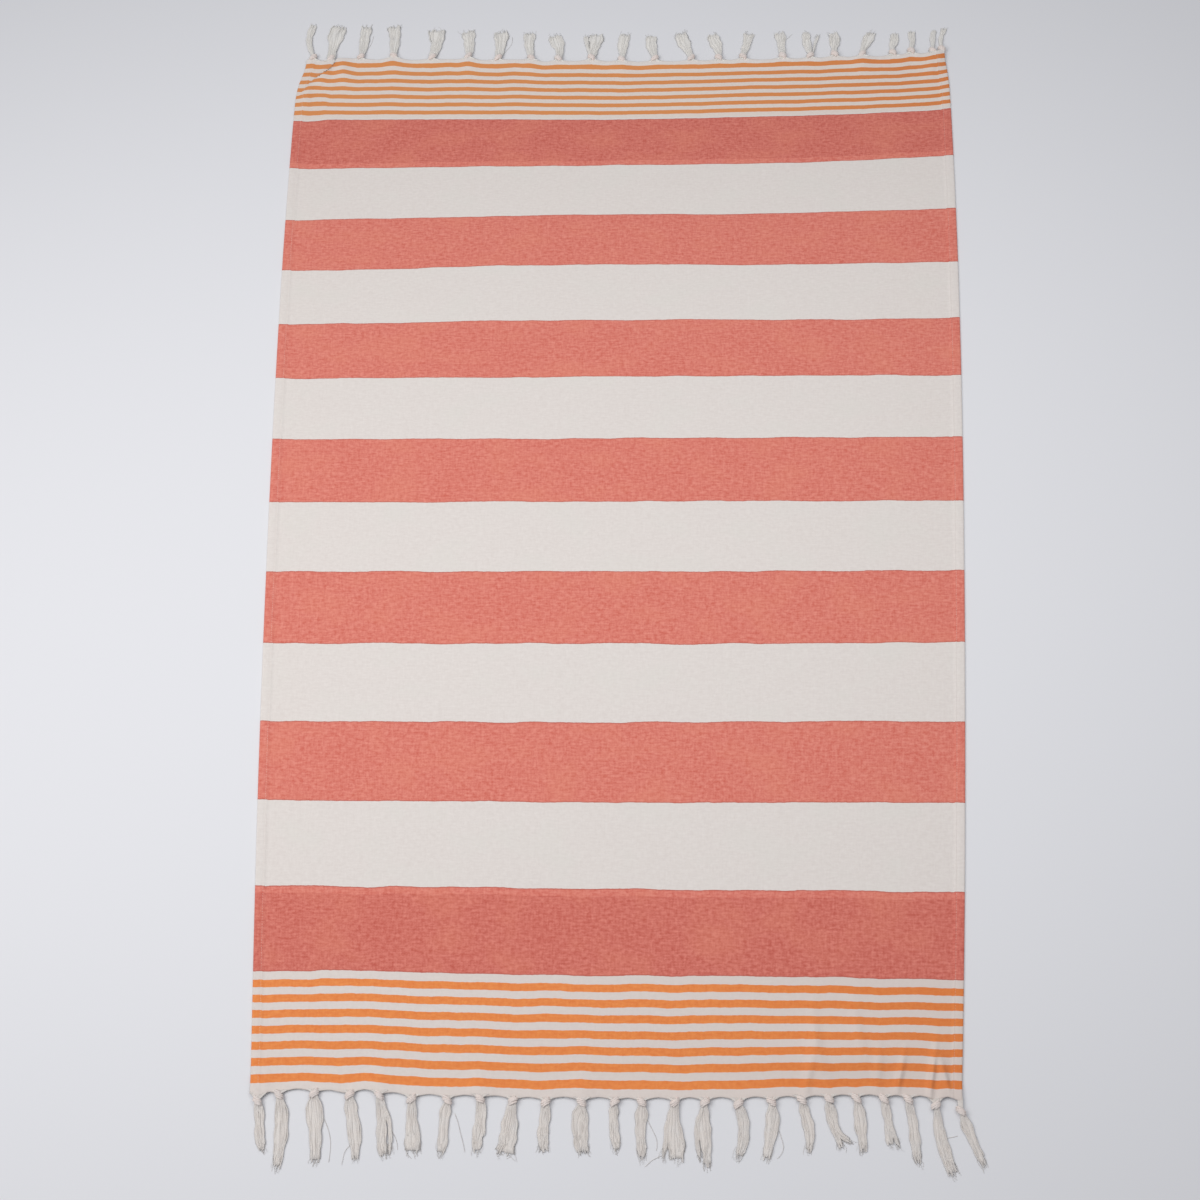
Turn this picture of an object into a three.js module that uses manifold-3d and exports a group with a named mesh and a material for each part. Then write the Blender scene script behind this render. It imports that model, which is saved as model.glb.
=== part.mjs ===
// A flat-woven cotton beach towel, laid out flat: one sheet of striped cloth with a turned hem down
// each long edge, and at each end a fringe of warp ends gathered into knotted tassels.
// Millimetres, +Z up. X runs across the towel, and Y runs along it, from the near end to the far end.
// The surface that it lies on is z = 0, and the origin is on it, under the middle of the towel's box.
import * as THREE from "three";
import { mergeVertices } from "three/addons/utils/BufferGeometryUtils.js";
import Module from "manifold-3d";

const wasm = await Module();
wasm.setup();

// ---- driving dimensions ----
const BAND = 105; // one coral or one natural band, measured along the towel
const BANDS = 13;
const BORDER = 131; // the finely striped border between the last coral band and the woven end
const WOVEN_LENGTH = BANDS * BAND + 2 * BORDER;
// From the middle line to the long edges. The towel doesn't lie quite evenly about that line.
const HALF_WIDTHS = {
  left: { near: 450, far: 530, cornerIn: 13 },
  right: { near: 448, far: 534, cornerIn: 5 },
};
const CORNER_REACH = 40; // how far from the far end its corners start to be drawn in
const WIDENING_EASE = 1.6; // above 1, the cloth widens faster in its near half than in its far half
const SHEET = 1.6; // thickness of the cloth
const HEM_EXTRA = 0.8; // how much thicker the turned hem is
const END_LIFT = 2.5; // the knots hold the woven ends this far off the surface
const END_LIFT_REACH = 13; // how far into the cloth that lift fades out
const FLAT_BELOW = 0.25; // lifts smaller than this lie flat
const SEAM_GAP = 0.3; // between the cloth and each fringe
const WEB = { between: 3, atKnot: 8 }; // depth of the gathered warp ends outside the woven edge
const LEAST_STEP = 1; // the least distance between two sections of that web
const TASSEL_SIDES = 6;

// ---- tables ----
const rows = (columns, values) =>
  values.map((row) => Object.fromEntries(columns.map((name, i) => [name, row[i]])));

// How far the weft threads lie towards the far end of a straight line, at seven places across.
const ACROSS = [-1, -0.8, -0.4, 0, 0.4, 0.8, 1];
const WEFT_DRIFT = rows(["along", "drift"], [
  [0.0, [1, 5, 1, 1, 4, 9, 8]],
  [0.07, [3, 6, 4, 3, 4, 4, 2]],
  [0.15, [1, 1, 1, 0, 1, 1, 0]],
  [0.3, [2, 2, 2, 2, 3, 5, 5]],
  [0.5, [8, 8, 8, 8, 8, 8, 8]],
  [0.63, [6, 6, 6, 6, 6, 5, 5]],
  [0.75, [-3, -3, 2, 3, 0, 1, 2]],
  [0.87, [-5, -5, -5, -5, -5, 0, 5]],
  [0.93, [-1, -2, -5, -9, -7, -3, 2]],
  [1.0, [4, 1, -4, -11, -11, -8, -3]],
]);

// Soft folds at the corners. across and along: where the crest's middle lies, from the middle line and
// from the near woven end. turn: degrees from the across direction. length and width: how far the fold
// fades out.
const FOLDS = rows(["across", "along", "turn", "length", "width", "height"], [
  [-485, 1600, 60, 35, 10, 6],
  [-510, 1560, 85, 45, 8, 3.5],
  [-455, 1610, 95, 25, 12, 4],
  [510, 1610, 70, 30, 15, 5],
  [425, 25, 90, 35, 8, 2.5],
  [270, 45, 110, 40, 12, 2.5],
  [315, 48, 0, 90, 34, 5],
  [-435, 15, 100, 25, 12, 3],
]);
// Small pleats that run into the cloth from some of the knots, numbered from the left.
const PLEAT = { inward: 10, turn: 90, length: 20, width: 15, height: 2.5 };
const PLEATED_KNOTS = { near: [5, 8, 11], far: [4, 6, 8, 11, 19] };

// Tassels, from left to right. gap: the distance from the knot before, compared with the other gaps of
// its fringe. drop: from the woven end to the knot. lean: how far right the tip lies. bow: how far right
// the middle swings. length: knot to tip. spread: width of the loose end.
const TASSEL_COLUMNS = ["gap", "drop", "lean", "bow", "length", "spread"];
const NEAR_TASSELS = rows(TASSEL_COLUMNS, [
  [0, 12, 12, -1, 60, 15],
  [7, 6, 3, 6, 90, 17],
  [12, 6, 9, -1, 84, 21],
  [12, 6, 12, 1, 78, 18],
  [10, 6, 10, 0, 74, 15],
  [11, 7, 3, 1, 65, 22],
  [12, 7, -8, 1, 66, 15],
  [11, 6, -3, 3, 65, 17],
  [11, 6, -8, 0, 65, 28],
  [11, 7, 1, -2, 60, 16],
  [12, 7, -1, -3, 62, 18],
  [11, 6, 2, -1, 60, 14],
  [9, 6, -1, 0, 68, 16],
  [11, 7, 1, 0, 70, 24],
  [10, 7, 4, -3, 77, 16],
  [11, 9, 1, 6, 65, 16],
  [11, 8, -10, 5, 70, 18],
  [10, 6, 7, 3, 62, 15],
  [9, 6, 14, -4, 58, 13],
  [9, 6, 5, 3, 64, 16],
  [9, 6, 7, 0, 56, 12],
  [8, 6, 11, 0, 76, 14],
  [9, 12, 13, -2, 84, 13],
  [8, 18, 24, 1, 65, 13],
]);
const FAR_TASSELS = rows(TASSEL_COLUMNS, [
  [0, 7, -7, -6, 70, 13],
  [6, 7, 12, -4, 70, 28],
  [10, 7, 4, 2, 66, 22],
  [11, 6, -3, 0, 65, 24],
  [13, 7, 6, 2, 60, 28],
  [12, 6, -6, 4, 55, 24],
  [10, 6, 0, 4, 57, 26],
  [11, 6, -6, 0, 55, 20],
  [9, 6, -8, 5, 50, 24],
  [11, 7, 5, 3, 50, 26],
  [10, 6, 5, 0, 55, 20],
  [11, 6, -6, -1, 50, 22],
  [12, 6, -18, 0, 55, 25],
  [9, 6, -10, 3, 50, 23],
  [8, 7, 12, -1, 50, 18],
  [13, 7, -6, 2, 50, 19],
  [9, 6, -6, 0, 50, 17],
  [8, 6, -1, 2, 46, 19],
  [9, 6, 17, -1, 46, 19],
  [10, 6, 5, -1, 42, 16],
  [6, 6, 5, 0, 42, 13],
  [7, 6, 6, -1, 44, 9],
  [3, 7, 6, -2, 44, 9],
]);

// A tassel's sections. share: -1 at the woven end, 0 at the knot, 1 at the tip. loose: how far the
// half width has opened from halfWidth to half the tassel's spread.
const ROOT_SHARE = 0.7;
const TASSEL_SECTIONS = rows(["share", "halfWidth", "loose", "halfHeight"], [
  [-ROOT_SHARE, 6.0, 0, 0.7],
  [-0.3, 4.4, 0, 2.6],
  [0.06, 5.8, 0, 4.4],
  [0.14, 3.8, 0, 3.3],
  [0.4, 4.6, 0.5, 3.5],
  [0.82, 4.6, 1, 2.8],
  [1.0, 3.6, 0.8, 1.3],
]);

// ---- the lie of the cloth ----
const driftRows = new THREE.CubicInterpolant(
  WEFT_DRIFT.map(({ along }) => along),
  WEFT_DRIFT.flatMap(({ drift }) => drift),
  ACROSS.length,
);

// across is -1 at the left edge and 1 at the right one; along is in mm from the near woven end.
function placeAcross(across, along) {
  const half = across < 0 ? HALF_WIDTHS.left : HALF_WIDTHS.right;
  const narrower = (half.far - half.near) * (1 - along / WOVEN_LENGTH) ** WIDENING_EASE;
  const fromFar = (WOVEN_LENGTH - along) / CORNER_REACH;
  return across * (half.far - narrower - half.cornerIn * Math.exp(-(fromFar ** 2)));
}

// How far the weft at this place lies towards the far end.
function drift(across, along) {
  const samples = Array.from(driftRows.evaluate(along / WOVEN_LENGTH));
  return new THREE.CubicInterpolant(ACROSS, samples, 1).evaluate(across)[0];
}

// The two woven ends. leftIn and rightIn: how far the outermost knots are from the long edges.
const END = {
  near: { along: 0, outward: -1, leftIn: 11, rightIn: 3 },
  far: { along: WOVEN_LENGTH, outward: 1, leftIn: 11, rightIn: 4 },
};

// The tassels with their knots' places across, the gaps being spread over the woven end.
function placed(tassels, end) {
  const first = placeAcross(-1, end.along) + end.leftIn;
  const last = placeAcross(1, end.along) - end.rightIn;
  const gaps = tassels.reduce((sum, { gap }) => sum + gap, 0);
  let passed = 0;
  return tassels.map((tassel) => {
    passed += tassel.gap;
    return { ...tassel, across: THREE.MathUtils.lerp(first, last, passed / gaps) };
  });
}

function pleats(tassels, end, knots) {
  const along = end.along - end.outward * PLEAT.inward;
  return knots.map((knot) => ({ ...PLEAT, across: tassels[knot - 1].across, along }));
}

const nearTassels = placed(NEAR_TASSELS, END.near);
const farTassels = placed(FAR_TASSELS, END.far);
const folds = [
  ...FOLDS,
  ...pleats(nearTassels, END.near, PLEATED_KNOTS.near),
  ...pleats(farTassels, END.far, PLEATED_KNOTS.far),
];

function lift(x, along) {
  const fromEnd = Math.min(along, WOVEN_LENGTH - along);
  let height = END_LIFT * Math.exp(-((fromEnd / END_LIFT_REACH) ** 2));
  for (const fold of folds) {
    const turn = THREE.MathUtils.degToRad(fold.turn);
    const dx = x - fold.across;
    const dy = along - fold.along;
    const onCrest = (dx * Math.cos(turn) + dy * Math.sin(turn)) / fold.length;
    const offCrest = (dy * Math.cos(turn) - dx * Math.sin(turn)) / fold.width;
    height += fold.height * Math.exp(-(onCrest ** 2) - offCrest ** 2);
  }
  return height < FLAT_BELOW ? 0 : height;
}

// ---- closed skins ----
function skin(points, faces) {
  const geometry = new THREE.BufferGeometry();
  const positions = points.flatMap((p) => [p.x, p.y, p.z]);
  geometry.setAttribute("position", new THREE.Float32BufferAttribute(positions, 3));
  geometry.setIndex(faces);
  return geometry;
}

// A skin over a run of like rings, with a flat cap at each end. Seen from the last ring, each ring
// turns anticlockwise.
function loft(rings) {
  const sides = rings[0].length;
  const last = (rings.length - 1) * sides;
  const faces = [];
  for (let r = 0; r < last; r += sides) {
    for (let s = 0; s < sides; s++) {
      const here = r + s;
      const next = r + ((s + 1) % sides);
      faces.push(here, next, next + sides, here, next + sides, here + sides);
    }
  }
  for (let s = 1; s + 1 < sides; s++) {
    faces.push(0, s + 1, s, last, last + s, last + s + 1);
  }
  return skin(rings.flat(), faces);
}

function joined(geometries) {
  const solids = geometries.map((geometry) => {
    const merged = mergeVertices(geometry);
    const mesh = new wasm.Mesh({
      numProp: 3,
      vertProperties: merged.attributes.position.array,
      triVerts: new Uint32Array(merged.index.array),
    });
    return new wasm.Manifold(mesh);
  });
  const whole = solids.reduce((sum, solid) => sum.add(solid)).getMesh();
  const geometry = new THREE.BufferGeometry();
  geometry.setAttribute("position", new THREE.BufferAttribute(whole.vertProperties, 3));
  geometry.setIndex(new THREE.BufferAttribute(whole.triVerts, 1));
  return geometry;
}

// ---- the cloth: a closed sheet, finely divided where it is folded ----
const HEM_SHARES = [1, 0.972, 0.968]; // the hem's outer edge, its inner edge, and the single cloth
const INNER_COLUMNS = 26;
const END_ROWS = [0, 6, 13, 22, 33, 46, 62, 84, 112]; // distances from a woven end
const MIDDLE_ROWS = 13;

function clothColumns() {
  const inner = HEM_SHARES[2];
  const columns = HEM_SHARES.map((share) => ({ across: -share, hem: share > inner }));
  for (let i = 1; i < INNER_COLUMNS; i++) {
    columns.push({ across: inner * ((2 * i) / INNER_COLUMNS - 1), hem: false });
  }
  const right = HEM_SHARES.map((share) => ({ across: share, hem: share > inner }));
  return columns.concat(right.reverse());
}

function clothRows() {
  const first = END_ROWS[END_ROWS.length - 1];
  const step = (WOVEN_LENGTH - 2 * first) / MIDDLE_ROWS;
  const middle = Array.from({ length: MIDDLE_ROWS - 1 }, (_, i) => first + (i + 1) * step);
  const far = END_ROWS.map((distance) => WOVEN_LENGTH - distance).reverse();
  return [...END_ROWS, ...middle, ...far];
}

function clothGeometry() {
  const columns = clothColumns();
  const along = clothRows();
  const wide = columns.length;
  const count = wide * along.length;
  const top = [];
  const under = [];
  for (const distance of along) {
    for (const { across, hem } of columns) {
      const x = placeAcross(across, distance);
      const y = distance + drift(across, distance);
      const z = lift(x, distance);
      under.push(new THREE.Vector3(x, y, z));
      top.push(new THREE.Vector3(x, y, z + SHEET + (hem ? HEM_EXTRA : 0)));
    }
  }
  const faces = [];
  for (let j = 0; j + 1 < along.length; j++) {
    for (let i = 0; i + 1 < wide; i++) {
      const a = j * wide + i;
      const b = a + 1;
      const c = a + wide;
      const d = c + 1;
      faces.push(a, b, d, a, d, c);
      faces.push(count + a, count + d, count + b, count + a, count + c, count + d);
    }
  }
  const nearRim = Array.from({ length: wide }, (_, i) => i);
  const farRim = nearRim.map((i) => count - 1 - i);
  const rightRim = Array.from({ length: along.length }, (_, j) => (j + 1) * wide - 1);
  const leftRim = rightRim.map((_, j) => (along.length - 1 - j) * wide);
  for (const rim of [nearRim, rightRim, farRim, leftRim]) {
    for (let k = 0; k + 1 < rim.length; k++) {
      const [p, q] = [rim[k], rim[k + 1]];
      faces.push(p, count + p, count + q, p, count + q, q);
    }
  }
  return skin([...top, ...under], faces);
}

// ---- a fringe: a web of gathered warp ends with a knotted tassel at each gather, all one comb ----
function acrossOf(x, end) {
  return THREE.MathUtils.clamp(x / Math.abs(placeAcross(Math.sign(x) || 1, end.along)), -1, 1);
}

function webGeometry(tassels, end) {
  const stations = [];
  tassels.forEach(({ across }, i) => {
    if (i > 0) {
      stations.push({ x: (tassels[i - 1].across + across) / 2, depth: WEB.between });
    }
    stations.push({ x: across, depth: WEB.atKnot });
  });
  const leftEnd = { x: placeAcross(-1, end.along), depth: WEB.atKnot };
  const rightEnd = { x: placeAcross(1, end.along), depth: WEB.atKnot };
  const inside = stations.filter(({ x }) => x > leftEnd.x + LEAST_STEP && x < rightEnd.x - LEAST_STEP);
  const rings = [leftEnd, ...inside, rightEnd].map(({ x, depth }) => {
    const woven = end.along + drift(acrossOf(x, end), end.along);
    const sides = [woven + end.outward * SEAM_GAP, woven + end.outward * (SEAM_GAP + depth)];
    const [low, high] = sides.sort((a, b) => a - b);
    const z = lift(x, end.along);
    return [[low, z], [high, z], [high, z + SHEET], [low, z + SHEET]].map(
      ([y, height]) => new THREE.Vector3(x, y, height),
    );
  });
  return loft(rings);
}

function tasselGeometry(tassel, end) {
  const woven = end.along + drift(acrossOf(tassel.across, end), end.along);
  const webHeight = lift(tassel.across, end.along) + SHEET / 2;
  const flatOfSection = Math.sin(Math.PI / 3);
  const centre = (share) => {
    const out = share < 0 ? tassel.drop * (1 + share) : tassel.drop + tassel.length * share;
    const loose = Math.max(share, 0);
    const sideways = tassel.lean * loose + tassel.bow * Math.sin(Math.PI * loose);
    return new THREE.Vector2(tassel.across + sideways, woven + end.outward * (SEAM_GAP + out));
  };
  const rings = TASSEL_SECTIONS.map(({ share, halfWidth, loose, halfHeight }) => {
    const middle = centre(share);
    const heldUp = Math.min(Math.max(-share, 0) / ROOT_SHARE, 1);
    const z = THREE.MathUtils.lerp(halfHeight * flatOfSection, webHeight, heldUp);
    const halfSpread = THREE.MathUtils.lerp(halfWidth, tassel.spread / 2, loose);
    return Array.from({ length: TASSEL_SIDES }, (_, s) => {
      const angle = (2 * Math.PI * s) / TASSEL_SIDES;
      const sideways = -end.outward * halfSpread * Math.cos(angle);
      return new THREE.Vector3(middle.x + sideways, middle.y, z + halfHeight * Math.sin(angle));
    });
  });
  return loft(rings);
}

function fringeGeometry(tassels, end) {
  return joined([webGeometry(tassels, end), ...tassels.map((tassel) => tasselGeometry(tassel, end))]);
}

// ---- assembly ----
function cotton(color, roughness) {
  return new THREE.MeshStandardMaterial({ color, roughness, metalness: 0 });
}

function piece(name, geometry, material) {
  const mesh = new THREE.Mesh(geometry, material);
  mesh.name = name;
  return mesh;
}

const towel = new THREE.Group();
towel.add(piece("woven_cloth", clothGeometry(), cotton(0xd4776b, 0.92)));
towel.add(piece("fringe_near", fringeGeometry(nearTassels, END.near), cotton(0xe2dcd2, 0.95)));
towel.add(piece("fringe_far", fringeGeometry(farTassels, END.far), cotton(0xe2dcd2, 0.95)));

const middle = new THREE.Box3().setFromObject(towel).getCenter(new THREE.Vector3());
for (const mesh of towel.children) {
  mesh.position.set(-middle.x, -middle.y, 0);
}

export default towel;
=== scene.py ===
import math

import bpy
import numpy as np
from mathutils import Euler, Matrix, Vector


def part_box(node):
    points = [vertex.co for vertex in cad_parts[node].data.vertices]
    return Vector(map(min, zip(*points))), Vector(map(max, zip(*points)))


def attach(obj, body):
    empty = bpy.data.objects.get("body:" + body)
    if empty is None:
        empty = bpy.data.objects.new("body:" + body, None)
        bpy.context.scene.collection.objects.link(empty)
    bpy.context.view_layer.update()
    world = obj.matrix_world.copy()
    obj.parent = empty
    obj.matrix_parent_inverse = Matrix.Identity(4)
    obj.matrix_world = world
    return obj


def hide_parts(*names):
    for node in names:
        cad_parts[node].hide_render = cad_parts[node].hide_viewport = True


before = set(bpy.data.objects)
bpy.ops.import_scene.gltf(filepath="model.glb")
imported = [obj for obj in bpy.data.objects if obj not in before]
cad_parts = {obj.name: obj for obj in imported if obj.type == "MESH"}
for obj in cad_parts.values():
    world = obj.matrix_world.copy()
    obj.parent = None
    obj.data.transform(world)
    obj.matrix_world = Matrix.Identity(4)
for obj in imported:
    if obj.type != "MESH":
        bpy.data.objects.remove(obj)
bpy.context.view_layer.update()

cloth_low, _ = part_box("woven_cloth")

# ---- sizes of the towel, in metres ----
MM = 0.001
BAND = 105 * MM
BANDS = 13
BORDER = 131 * MM
WOVEN = BANDS * BAND + 2 * BORDER
CORAL_SHARE = 0.493  # of a coral and natural pair
BEAT = 0.14  # the weft is beaten looser at the near end than at the far one, by this share each way
STRIPES = 7
STRIPE = 8.8 * MM
STRIPE_PITCH = 17.4 * MM
FIRST_STRIPE = 8.1 * MM
NEAR_HALVES = (450 * MM, 448 * MM)  # from the middle line to the left and to the right long edge
FAR_HALVES = (530 * MM, 534 * MM)
WIDENING_EASE = 1.6  # above 1, the cloth widens faster in its near half than in its far half
CORNERS_IN = (13 * MM, 5 * MM)  # how far the far corners are drawn in, left and right
CORNER_REACH = 40 * MM  # how far along the long edges that is felt
NEAR_KNOTS_IN = (11 * MM, 3 * MM)  # from the long edges to the outermost knots, left and right
FAR_KNOTS_IN = (11 * MM, 4 * MM)
SHEET = 1.5 * MM
END_LIFT = 2.5 * MM  # how high the knots hold the woven ends
END_LIFT_REACH = 13 * MM
RIPPLE = 0.35 * MM  # how uneven the pressed cloth lies
END_ROUNDING = 0.5 * MM  # how far the upper face drops at the woven ends
LOWER_ROUNDING = 0.6  # how far the lower face rises there, as a share of that
HEM_SHIFT = 0.4 * MM  # how far the folded hem's stripes are set off from the cloth's
HALF_WIDTH = 0.4975  # half the width that the weave's pattern covers

# The towel's own lines: across is measured from the middle line, along from the near woven end.
ACROSS = np.array([-1, -0.8, -0.4, 0, 0.4, 0.8, 1])
WEFT_DRIFT = np.array([  # share of the woven length, then mm towards the far end at each place across
    [0.0, 1, 5, 1, 1, 4, 9, 8],
    [0.07, 3, 6, 4, 3, 4, 4, 2],
    [0.15, 1, 1, 1, 0, 1, 1, 0],
    [0.3, 2, 2, 2, 2, 3, 5, 5],
    [0.5, 8, 8, 8, 8, 8, 8, 8],
    [0.63, 6, 6, 6, 6, 6, 5, 5],
    [0.75, -3, -3, 2, 3, 0, 1, 2],
    [0.87, -5, -5, -5, -5, -5, 0, 5],
    [0.93, -1, -2, -5, -9, -7, -3, 2],
    [1.0, 4, 1, -4, -11, -11, -8, -5],
])

FOLDS = np.array([  # across, along, degrees from the across direction, length, width, height; in mm
    [-485, 1600, 60, 35, 10, 5],
    [-510, 1560, 85, 45, 8, 3.5],
    [-455, 1610, 95, 25, 12, 4],
    [510, 1610, 70, 30, 15, 5],
    [425, 25, 90, 35, 8, 2.5],
    [270, 45, 110, 40, 12, 2.5],
    [315, 48, 0, 90, 34, 5],
    [-435, 15, 100, 25, 12, 3],
])
CREASES = np.array([  # as the folds, but too sharp for the part
    [412, 26, 80, 34, 4, 5],
    [428, 24, 104, 26, 3.5, 3],
    [372, 24, 76, 26, 4, 3.5],
    [345, 30, 84, 26, 5, 2.5],
    [258, 26, 78, 28, 5, 3.5],
    [268, 78, 96, 30, 6, 2.5],
    [322, 82, 100, 30, 7, 2.5],
])
PLEAT = [90, 20, 15, 2.5]  # turn, length, width and height of the pleats that run in from some knots
PLEAT_INWARD = 10  # mm from the woven end to a pleat's middle
NEAR_PLEATS = [5, 8, 11]
FAR_PLEATS = [4, 6, 8, 11, 19]

# Gap from the knot before, compared with the fringe's other gaps, and then in mm: drop to the knot, lean
# of the tip, bow of the middle, knot to tip, width of the loose end
NEAR_TASSELS = np.array([
    [0, 12, 12, -1, 60, 15], [7, 6, 3, 6, 90, 17], [12, 6, 9, -1, 84, 21],
    [12, 6, 12, 1, 78, 18], [10, 6, 10, 0, 74, 15], [11, 7, 3, 1, 65, 22],
    [12, 7, -8, 1, 66, 15], [11, 6, -3, 3, 65, 17], [11, 6, -8, 0, 65, 28],
    [11, 7, 1, -2, 60, 16], [12, 7, -1, -3, 62, 18], [11, 6, 2, -1, 60, 14],
    [9, 6, -1, 0, 68, 16], [11, 7, 1, 0, 70, 24], [10, 7, 4, -3, 77, 16],
    [11, 9, 1, 6, 65, 16], [11, 8, -10, 5, 70, 18], [10, 6, 7, 3, 62, 15],
    [9, 6, 14, -4, 58, 13], [9, 6, 5, 3, 64, 16], [9, 6, 7, 0, 56, 12],
    [8, 6, 11, 0, 76, 14], [9, 12, 13, -2, 84, 13], [8, 18, 24, 1, 65, 13],
], float)
FAR_TASSELS = np.array([
    [0, 7, -7, -6, 70, 13], [6, 7, 12, -4, 70, 28], [10, 7, 4, 2, 66, 22],
    [11, 6, -3, 0, 65, 24], [13, 7, 6, 2, 60, 28], [12, 6, -6, 4, 55, 24],
    [10, 6, 0, 4, 57, 26], [11, 6, -6, 0, 55, 20], [9, 6, -8, 5, 50, 24],
    [11, 7, 5, 3, 50, 26], [10, 6, 5, 0, 55, 20], [11, 6, -6, -1, 50, 22],
    [12, 6, -18, 0, 55, 25], [9, 6, -10, 3, 50, 23], [8, 7, 12, -1, 50, 18],
    [13, 7, -6, 2, 50, 19], [9, 6, -6, 0, 50, 17], [8, 6, -1, 2, 46, 19],
    [9, 6, 17, -1, 46, 19], [10, 6, 5, -1, 42, 16], [6, 6, 5, 0, 42, 13],
    [7, 6, 6, -1, 44, 9], [3, 7, 6, -2, 44, 9],
], float)
# Locks that part from a tassel below its knot: the tassel's number and how far right of its knot, then
# drop to the start, lean, bow, length and width as above, and how far the tip curls sideways
NEAR_LOCKS = np.array([
    [5, 3, 11, 16, 4, 66, 5, 0], [6, 1, 14, 9, 2, 52, 7, 0], [9, -2, 11, -15, 2, 56, 9, 0],
    [10, 1, 11, -5, 0, 52, 6, 0], [11, 2, 11, 6, 0, 56, 9, 0], [14, -3, 11, -11, -2, 62, 8, 0],
    [15, -3, 14, -5, -4, 60, 7, 0], [19, 3, 14, 15, -4, 48, 9, 9], [21, 2, 11, 14, -3, 52, 8, 0],
    [23, 1, 20, 20, -2, 70, 7, 0],
])
FAR_LOCKS = np.array([
    [5, 1, 9, 12, -3, 48, 9, 0], [10, -2, 9, -6, -2, 44, 8, 0], [17, 3, 9, 12, 0, 40, 5, 0],
])
# Single threads lying loose: a tassel's number, then how far right of its knot and how far out from the
# woven end the thread starts and ends, and its bow
NEAR_STRAYS = np.array([
    [3, 5, 14, 25, 86, 7], [4, 6, 62, -4, 88, -4], [5, 10, 30, 28, 72, 3], [7, 9, 20, 24, 68, 3],
    [13, 6, 22, 18, 62, 5], [13, 4, 78, 26, 64, -2], [17, 8, 38, 3, 74, 8], [23, 8, 48, 26, 44, 0],
])
FAR_STRAYS = np.array([[3, 2, 12, 18, 50, 5], [7, 8, 12, 22, 48, 4], [16, 0, 14, 18, 50, -4]])

# How the weft lines wave close to a woven end: the knot's number (a half lies between two), width of
# the wave, mm towards the fringe at the end
FAR_WAVES = np.array([
    [2.5, 15, 2.2], [3, 8, -1.2], [4, 16, 2.4], [5, 8, -1.2], [5.5, 12, 2.0], [6, 10, 1.8],
    [7, 8, -1.0], [7.5, 14, 2.0], [8.5, 14, -1.8], [10, 26, 1.8], [11, 12, -1.2], [18, 18, 1.5],
    [21, 20, 3.0],
])
NEAR_WAVES = np.array([
    [2.5, 28, -1.6], [3.7, 12, 1.8], [4.6, 16, -1.6], [6, 24, 1.2], [8, 16, -1.4], [9.5, 20, 0.8],
    [13, 20, 0.8], [17, 16, -1.0], [19, 14, -0.8], [20, 18, -0.8],
])
WAVE_REACH = 24 * MM  # how far in the near waves are felt, and half as far as the far ones are
# Where the weft lines step a little by the far left corner: across, along, width across and along, mm
# towards the far end
KINKS = np.array([[-510, 1494, 30, 26, -5], [-489, 1552, 14, 20, 3.5]])
# Where the far left corner is folded under: across, and in from the far end
TUCK_LINE = np.array([[-465, 0], [-475, 15], [-500, 35], [-520, 65], [-540, 90]])
TUCK_REACH = 62 * MM
TUCK_LIFT = 3.2 * MM
LIP_REACHES = (2.6 * MM, 9 * MM)  # how soon the lift falls off to the left and to the right of the line
# How far the weft lines sag towards the near end at the tuck, and how soon that falls off
SAG_RIGHT = 5.5 * MM
SAG_RIGHT_REACH = 11 * MM
SAG_LEFT = 3.5 * MM
SAG_LEFT_MORE = 6 * MM  # on top of that, at the line
SAG_LEFT_REACH = 9 * MM
# The far right corner is pulled towards the far end: how far, and how soon that falls off each way
CORNER_PULL = 5 * MM
CORNER_PULL_ACROSS = 10 * MM
CORNER_PULL_ALONG = 110 * MM
# A woven end is drawn out to each knot by a share of the knot's drop, up to a limit
KNOT_PULL_SHARE = 0.8
KNOT_PULL_LIMIT = 6.5 * MM
KNOT_PULL_ACROSS = 12.5 * MM
KNOT_PULL_ALONG = 5 * MM


# ---- the lie of the cloth ----
def eased(t, span, values, slopes):
    """Between two values, from one slope to the other, at a share t of the span."""
    ends = (1 + 2 * t) * (1 - t) ** 2 * values[0] + t**2 * (3 - 2 * t) * values[1]
    return ends + span * (t * (1 - t) ** 2 * slopes[0] - t**2 * (1 - t) * slopes[1])


def curve_through(places, values):
    """A smooth curve through rows of values, whose slopes come from the rows on either side."""
    slopes = np.gradient(values, places, axis=0)

    def at(where):
        where = np.clip(where, places[0], places[-1])
        i = np.clip(np.searchsorted(places, where, side="right") - 1, 0, len(places) - 2)
        span = places[i + 1] - places[i]
        t = ((where - places[i]) / span)[..., None]
        return eased(t, span[..., None], (values[i], values[i + 1]), (slopes[i], slopes[i + 1]))

    return at


drift_rows = curve_through(WEFT_DRIFT[:, 0], WEFT_DRIFT[:, 1:] * MM)


def half_width(side, along):
    """From the middle line to the left long edge where side is below 0, or else to the right one."""
    near, far, corner_in = (np.where(side < 0, *sizes) for sizes in (NEAR_HALVES, FAR_HALVES, CORNERS_IN))
    narrower = (far - near) * np.clip(1 - along / WOVEN, 0, 1) ** WIDENING_EASE
    return far - narrower - corner_in * np.exp(-(((WOVEN - along) / CORNER_REACH) ** 2))


def place_across(share, along):
    """From the middle line, to the right, at a share of the half width from -1 to 1."""
    return share * half_width(share, along)


# Where the middle line and the near woven end are in the model
MIDDLE_X = cloth_low.x + half_width(-1, np.linspace(0, WOVEN, 400)).max()
NEAR_Y = cloth_low.y


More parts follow.
